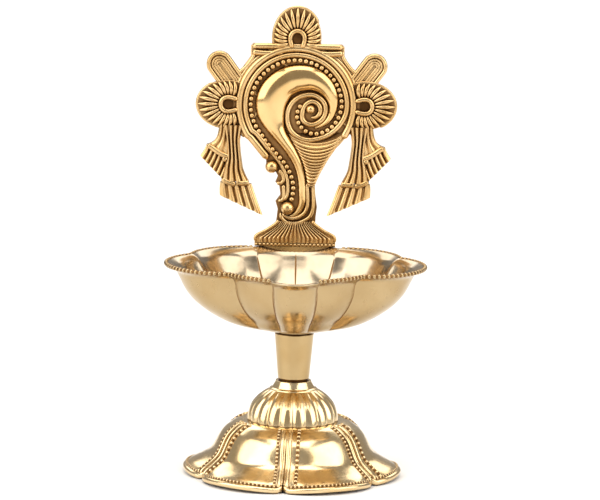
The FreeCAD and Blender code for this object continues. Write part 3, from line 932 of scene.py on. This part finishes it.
# %% Conch body
conch_outer = [(-2.3, 13.3), (-0.2, 15.1), (1.1, 18.5), (0.9, 22.6), (0.6, 26.6), (-0.5, 31.4),
               (-2.4, 35.3), (-5.8, 40.0), (-9.4, 44.0), (-13.0, 48.1), (-15.9, 52.8),
               (-16.8, 58.2), (-15.8, 63.0), (-13.0, 67.6), (-8.6, 71.3), (-4.2, 73.2),
               (0.8, 73.9), (6.2, 73.1), (10.7, 70.6), (14.0, 67.1), (15.9, 62.8), (16.3, 58.4),
               (15.3, 54.2), (13.2, 50.9), (10.1, 48.8), (7.0, 48.0)]
conch_inner = [(-1.2, 11.7), (2.0, 14.1), (4.0, 18.5), (4.1, 22.6), (4.0, 27.4), (3.3, 31.4),
               (2.2, 35.5), (0.0, 39.9), (-2.5, 43.7), (-4.6, 48.0), (-5.0, 52.4), (-4.4, 56.8),
               (-3.1, 59.6), (-1.6, 61.5), (0.8, 62.7), (2.8, 63.1), (5.2, 63.3), (7.7, 62.7),
               (10.0, 61.2), (11.5, 59.2), (12.3, 57.2), (12.2, 55.0), (11.4, 52.8), (10.0, 51.0),
               (8.6, 49.9), (7.2, 49.2)]
conch_heights = [0.5, 0.9, 1.2, 1.4, 1.6, 1.9, 2.2, 2.6, 2.9, 3.3, 3.6, 3.9, 4.0, 4.0, 3.9, 3.8,
                 3.6, 3.4, 3.1, 2.8, 2.4, 2.1, 1.8, 1.5, 1.1, 0.6]
conch_body = relief("conch_body", conch_outer, conch_inner, conch_heights, conch_brass, 180, 40)

RINGS = 15
cone_left = [(-3.4, 46.0), (-1.9, 42.6), (-0.2, 39.5), (1.4, 36.3), (2.6, 33.4), (3.5, 30.2),
             (4.1, 27.0), (4.3, 25.4)]
cone_right = [(19.0, 46.6), (17.1, 42.9), (14.9, 39.3), (12.8, 36.1), (11.2, 33.2), (9.6, 30.2),
              (8.2, 27.0), (7.6, 25.4)]


def cone_rings(s, t):
    return 0.35 + 0.5 * (abs(math.sin(math.pi * s * RINGS)) - 0.3) * min(1.0, 8 * t * (1 - t))


conch_tip = relief("conch_tip", cone_left, cone_right, [1.0, 1.9, 2.4, 2.4, 2.2, 1.9, 1.6, 1.4],
                   cast_brass, 190, 26, wave=cone_rings,
                   sags=[3.6, 3.1, 2.5, 2.0, 1.5, 1.1, 0.8, 0.6])

# %% Balls and scrolls
def ball(u, v, h, radius):
    work = bmesh.new()
    bmesh.ops.create_uvsphere(work, u_segments=28, v_segments=18, radius=radius * MM,
                              matrix=Matrix.Translation(Vector(on_plate(u, v, h)) * MM))
    mesh = bpy.data.meshes.new("ball")
    work.to_mesh(mesh)
    work.free()
    return place("ball", mesh, cast_brass)


balls = join("plate_balls", [ball(-9.8, 32.6, 0.3, 2.55), ball(-3.3, 16.2, 0.9, 2.6),
                             ball(5.2, 56.0, 1.2, 1.75)])
scrolls = plate_ridges("plate_scrolls", [
    (0.3, [(6.7, 26.2), (7.0, 19.9), (6.8, 15.8), (5.4, 12.5), (1.7, 10.4), (-2.3, 10.0),
           (-5.0, 11.5), (-6.0, 14.2)]),
    (0.3, [(4.4, 26.4), (4.8, 20.6), (4.6, 16.8), (3.1, 13.8), (-0.3, 12.0), (-3.3, 12.4),
           (-5.2, 13.9)]),
    (0.3, [(-10.2, 38.9), (-7.1, 34.9), (-4.6, 30.8), (-3.3, 26.8), (-3.3, 21.8), (-4.6, 19.0)]),
    (0.2, [(-6.9, 31.4), (-5.3, 29.4), (-5.0, 27.2), (-6.2, 25.9), (-7.6, 26.4)]),
    (0.2, [(-5.0, 25.4), (-4.7, 21.6), (-5.3, 19.3), (-7.0, 18.9)]),
], 0.8, thin=0.04)

# %% [markdown]
# ### Shell rosettes
# Three scallop rosettes stand at the top and the sides. Each has a fan of curved ribs round a small
# keyhole, sunk in a dark floor of patina and painted shade and held by a bright edge; a near-black
# slab in the keyhole is painted shade. The ribs are lines that leave the keyhole straight and bend
# towards the tip, and the ridge tree sweeps them all at once.

# %% Rosettes
RIBS = 17
SPREAD_DEG = 121.0
LONG, WIDE = 12.2, 9.5
RIB_POINTS = 9
OVAL_POINTS = 72
keyhole_line = [(-4.0, 2.0), (-2.4, 2.4), (-0.8, 2.8), (1.0, 2.7), (2.4, 1.7), (2.9, 0.0),
                (2.4, -1.7), (1.0, -2.7), (-0.8, -2.8), (-2.4, -2.4), (-4.0, -2.0)]
oval = [(LONG * math.cos(a), WIDE * math.sin(a))
        for a in np.linspace(0, 2 * math.pi, OVAL_POINTS, endpoint=False)]
bright_edge = oval[60:] + oval[:49] + [oval[48]]
rib_lines = []
for a in math.radians(SPREAD_DEG) * np.linspace(-1, 1, RIBS):
    end_a = a * 0.86
    reach = 1 / math.hypot(math.cos(end_a) / (LONG - 0.2), math.sin(end_a) / (WIDE - 0.2))
    way = np.array((math.cos(a), math.sin(a)))
    start, end = 3.6 * way, reach * np.array((math.cos(end_a), math.sin(end_a)))
    bend = start + way * np.linalg.norm(end - start) * 0.55
    rib_lines.append([(1 - t) ** 2 * start + 2 * t * (1 - t) * bend + t * t * end
                      for t in np.linspace(0, 1, RIB_POINTS)])
rib_heights = [0.35 + 0.75 * math.sin(math.pi * (0.15 + 0.8 * t))
               for t in np.linspace(0, 1, RIB_POINTS)]
plate_rosettes = []
for turn_deg, from_disc in ((0, 27.2), (90, 26.8), (180, 27.0)):
    cos_turn, sin_turn = math.cos(math.radians(turn_deg)), math.sin(math.radians(turn_deg))

    def from_local(points):
        return [(DISC[0] + (from_disc + x) * cos_turn - y * sin_turn,
                 DISC[1] + (from_disc + x) * sin_turn + y * cos_turn) for x, y in points]

    base = slab(f"rosette_base_{turn_deg}", from_local(oval), 0.1, cast_brass, bevel=0.4, low=-2.8)
    # the sunk floor of the rosette is dark: patina and painted shade
    floor_oval = [(x * 0.965, y * 0.965) for x, y in oval]
    sunk = slab(f"rosette_floor_{turn_deg}", from_local(floor_oval), 0.3, recess_patina_and_shade, bevel=0.1,
                low=-1.2)
    ribs = [[on_plate(u, v, h) for (u, v), h in zip(from_local(line), rib_heights)]
            for line in rib_lines]
    fan = ridges(f"rosette_fan_{turn_deg}", ribs, 0.80, cast_brass, thin=0.40, step=0.45)
    edge = plate_ridges(f"rosette_edge_{turn_deg}", [(-0.2, from_local(bright_edge))], 0.6,
                        thin=0.02)
    rim = plate_ridges(f"rosette_keyhole_{turn_deg}", [(1.1, from_local(keyhole_line))], 0.95,
                       thin=0.05)
    # a near-black slab fills the keyhole: painted shade
    keyhole_shade = slab(f"rosette_hole_{turn_deg}", from_local(circle(0.0, 0.0, 2.1, 32)), 0.55,
                dark_brass, bevel=0.1, low=-0.6)
    plate_rosettes += [keyhole_shade, join(f"rosette_{turn_deg}", [base, fan, edge, rim]), sunk]
print(len(plate_rosettes), "rosette pieces")

# %% [markdown]
# ### Shoulder, loops and ribbons
# A moulded bar crosses behind the top rosette, and a looped ribbon end rises on each side. Under
# each side rosette hangs a pleated ribbon with two fringed tails, each gathered by a band.

# %% Shoulder and loops
LEFT, RIGHT = -1, 1
shoulder_ridges = plate_ridges("shoulder_ridges", [
    (0.1, [(-18.2, 80.7), (0.0, 80.9), (17.6, 80.7)]),
    (0.2, [(-18.1, 78.4), (-12.0, 78.0), (-6.0, 78.6)]),
    (0.2, [(17.5, 78.4), (12.0, 78.0), (6.0, 78.6)]),
], 1.2, thin=0.03)
slope = [(-17.6, 79.0), (-17.6, 76.8), (-20.2, 72.8), (-23.4, 69.8)]
shoulder_lines = plate_ridges("shoulder_lines", [(-0.5, slope), (-0.5, mirror(slope))], 0.8,
                              thin=0.03)
LOOP_HALF = 5.1
LOOP_SHIFT = -0.9     # the left loop stands this much further out than the right one


def loop_path(inset, side):
    """U round the loop's end, inset mm inside its edge."""
    start, end = np.array((-21.0, 60.8)), np.array((-30.2, 73.2))
    axis = (end - start) / np.linalg.norm(end - start)
    across = np.array((-axis[1], axis[0]))
    half = LOOP_HALF - inset
    middle = start + (end - start) * 0.5
    path = [start + across * half * 0.90, middle + across * half * 0.98]
    path += [end + half * (across * math.cos(a) + axis * math.sin(a))
             for a in np.linspace(0, math.pi, 9)]
    path += [middle - across * half * 0.98, start - across * half * 0.90]
    return shifted(path, LOOP_SHIFT) if side == LEFT else mirror(path)


loops = []
for side in (LEFT, RIGHT):
    edge = smooth_line(loop_path(0.0, side), 60)
    loops.append(slab("loop_slab", edge, -0.6, cast_brass, bevel=0.5, low=-2.75))
    loops.append(plate_ridges("loop_edge", [(-0.55, loop_path(0.8, side))], 0.85, thin=0.02))
    folds = [(-0.5, loop_path(inset, side)) for inset in (2.3, 3.3, 4.2)]
    loops.append(plate_ridges("loop_fold", folds, 0.5, thin=0.02))
plate_loops = join("plate_loops", loops)

# %% Ribbons
def pleats(count, depth):
    def wave(s, t):
        to_edge = min(1.0, 12 * min(t, 1 - t) + 0.15)
        return depth * (abs(math.sin(math.pi * count * t)) - 0.5) * to_edge
    return wave


# name, outer edge, inner edge, height, number of pleats and their depth
ribbon_parts = [
    ("tail", [(-29.9, 49.5), (-30.4, 45.6), (-31.4, 43.0), (-33.0, 41.6), (-34.9, 40.9)],
     [(-26.5, 49.5), (-26.6, 46.0), (-26.6, 42.5), (-26.5, 39.5), (-26.4, 36.3)], 0.7, 3, 0.7),
    ("strip", [(-28.4, 49.0), (-27.4, 44.1), (-27.0, 40.0), (-27.0, 36.3), (-27.9, 32.0),
               (-28.8, 26.6)],
     [(-21.6, 49.0), (-22.6, 43.4), (-22.4, 39.4), (-21.8, 34.7), (-21.0, 30.6), (-18.9, 26.4)],
     1.3, 4, 1.0),
    ("fringe", [(-34.9, 40.6), (-35.6, 39.0), (-36.3, 37.8), (-37.2, 36.4)],
     [(-26.4, 36.0), (-26.9, 33.4), (-27.9, 30.4), (-29.2, 27.0)], 0.5, 6, 1.0),
    ("lower", [(-29.2, 26.0), (-29.4, 24.2), (-29.4, 22.6), (-29.3, 20.8)],
     [(-17.9, 25.4), (-16.6, 21.8), (-15.1, 17.6), (-13.3, 13.0)], 0.6, 5, 1.1),
]
bands = [[(-34.8, 40.8), (-33.3, 40.0), (-31.4, 38.6), (-29.0, 37.2), (-26.6, 36.4)],
         [(-28.8, 27.6), (-27.7, 26.7), (-26.1, 25.9), (-23.6, 25.2)],
         [(-23.4, 25.7), (-20.1, 25.8), (-18.2, 25.9)], [(-29.0, 35.7), (-27.1, 35.1)]]
# the casting isn't quite even: the left edge of each ribbon lies further left than its mirror
LEFT_EDGE, RIGHT_EDGE, BAND_SHIFT = -0.9, 0.2, -0.4
ribbons = []
for side in (LEFT, RIGHT):
    def on_side(points, by):
        return shifted(points if side == LEFT else mirror(points), by)

    outer_by, inner_by = (LEFT_EDGE, RIGHT_EDGE) if side == LEFT else (RIGHT_EDGE, LEFT_EDGE)
    for label, outer, inner, height, count, depth in ribbon_parts:
        ribbons.append(relief(
            f"ribbon_{label}", on_side(outer, outer_by), on_side(inner, inner_by),
            [height] * len(outer), cast_brass, 24, 90, wave=pleats(count, depth), fullness=0.3,
            base=-2.7))
    for band in bands:
        ribbons.append(plate_ridges("band", [(0.6, on_side(band, BAND_SHIFT))], 1.15, thin=0.03,
                                    step=0.3))
plate_ribbons = join("plate_ribbons", ribbons)

# %% [markdown]
# ### Foot of the plate
# The plate stands on a trapezoid with a fan of fine lines, above a narrow beaded strip that sits on
# the back rim of the bowl.

# %% Plate foot
FAN_LINES = 19


def fan_lines(s, t):
    to_edge = min(1.0, 10 * min(t, 1 - t) + 0.1)
    return 0.6 * (abs(math.sin(math.pi * FAN_LINES * t)) - 0.6) * to_edge


foot_left = [(-6.6, 10.8), (-7.6, 9.5), (-10.6, 7.4), (-13.9, 5.4), (-15.9, 4.0), (-16.0, 2.2)]
foot_fan = relief("foot_fan", foot_left, mirror(foot_left), [0.9, 1.0, 1.0, 0.9, 0.8, 0.7],
                  cast_brass, 30, 200, wave=fan_lines, fullness=0.2, base=-2.85)
foot_block = slab("foot_block", [(-16.1, 0.58), (16.1, 0.58), (16.1, 4.2), (-16.1, 4.2)], 0.15,
                  cast_brass, bevel=0.2)
foot_moulding = [(-6.9, 11.2), (-7.7, 9.7), (-11.4, 7.1), (-15.4, 4.8), (-15.7, 2.6)]
foot_edges = plate_ridges("foot_edges", [(0.4, foot_moulding), (0.4, mirror(foot_moulding))], 0.7,
                          thin=0.02)
strip_beads = beads("strip_beads", [raised([(-15.4, 1.4), (0.0, 1.4), (15.4, 1.4)], 0.2)], 1.5,
                    0.66, cast_brass)

# %% [markdown]
# ## Who moves with what
# Each piece rides on a body of the frame, and the plain node that a piece takes over from is
# hidden.
# The washers, nut and screws keep their measured shapes and only get a finish.

# %% Ride and replace
for piece, old, slot in ((foot_shell, "base_foot", "base_foot"),
                         (dome_shell, "fluted_dome", "fluted_dome"),
                         (rod_thread, "centre_rod", "centre_rod")):
    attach(piece, "base")
    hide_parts(old)
for piece in [foot_ridges] + foot_beads + chain_beads + lip_beads:
    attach(piece, "base")
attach(stem_turned, "stem")
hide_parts("stem")
for piece in [bowl_shell, bowl_creases, bowl_bracket, spigot_thread] + rim_beads:
    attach(piece, "bowl")
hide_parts("oil_bowl")
plate_pieces = plate_slabs + plate_rosettes + [
    frame_outer, frame_inner, frame_edge, plate_beads, conch_body, conch_tip, balls, scrolls,
    shoulder_ridges, shoulder_lines, plate_loops, plate_ribbons, foot_fan, foot_block, foot_edges,
    strip_beads]
for piece in plate_pieces:
    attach(piece, "bowl")
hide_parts("back_plate")
for name, finish in (("clamp_washer", machined_brass), ("clamp_nut", machined_brass),
                     ("neck_washer", dark_brass), ("bowl_washer", dark_brass),
                     ("plate_screw_left", machined_brass), ("plate_screw_right", machined_brass)):
    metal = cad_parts[name]
    metal.data.materials.clear()
    metal.data.materials.append(finish)
print(len(plate_pieces), "plate pieces")

# %% [markdown]
# ## Floor and light
# Brass shows the room it stands in. A pale floor gives the cream tones from below, large soft boxes
# on both sides and above give the long white highlights, and the room between them stays dim, so
# the faces that look that way turn deep gold. One more box lights the floor behind the lamp.
# Product pictures are shown without a film curve, so the scene uses the standard view.

# %% Floor and lights
FLOOR_GREY = 0.86
floor_mesh = bpy.data.meshes.new("floor")
floor_mesh.from_pydata([(-6, -4, 0), (6, -4, 0), (6, 8, 0), (-6, 8, 0)], [], [(0, 1, 2, 3)])
floor_material, floor_shader = new_material("pale_floor")
floor_shader.inputs["Base Color"].default_value = (FLOOR_GREY, FLOOR_GREY, FLOOR_GREY, 1.0)
floor_shader.inputs["Roughness"].default_value = 0.7
floor = place("floor", floor_mesh, floor_material)

world = bpy.data.worlds.new("studio")
bpy.context.scene.world = world
world.use_nodes = True
room = world.node_tree.nodes["Background"]
room.inputs["Color"].default_value = (1.0, 0.97, 0.93, 1.0)
room.inputs["Strength"].default_value = 0.36
bpy.context.scene.view_settings.view_transform = "Standard"


def softbox(name, spot, aim, width, height, power):
    """A box of light in metres and watts."""
    light = bpy.data.lights.new(name, "AREA")
    light.shape = "RECTANGLE"
    light.size, light.size_y = width, height
    light.energy = power
    light.color = (1.0, 0.98, 0.95)
    lamp = add(name, light)
    lamp.location = spot
    lamp.rotation_mode = "QUATERNION"
    lamp.rotation_quaternion = (Vector(aim) - Vector(spot)).to_track_quat("-Z", "Y")


softbox("left_box", (-1.05, -0.55, 0.78), (0, 0, 0.07), 1.5, 1.4, 17)
softbox("right_box", (1.10, -0.50, 0.76), (0, 0, 0.07), 1.4, 1.3, 14)
softbox("top_box", (0.0, -0.1, 1.5), (0, 0.0, 0.0), 1.1, 1.7, 16)
softbox("back_box", (0.0, 2.8, 1.9), (0, 2.8, 0.0), 3.6, 2.4, 60)
print("studio ready")
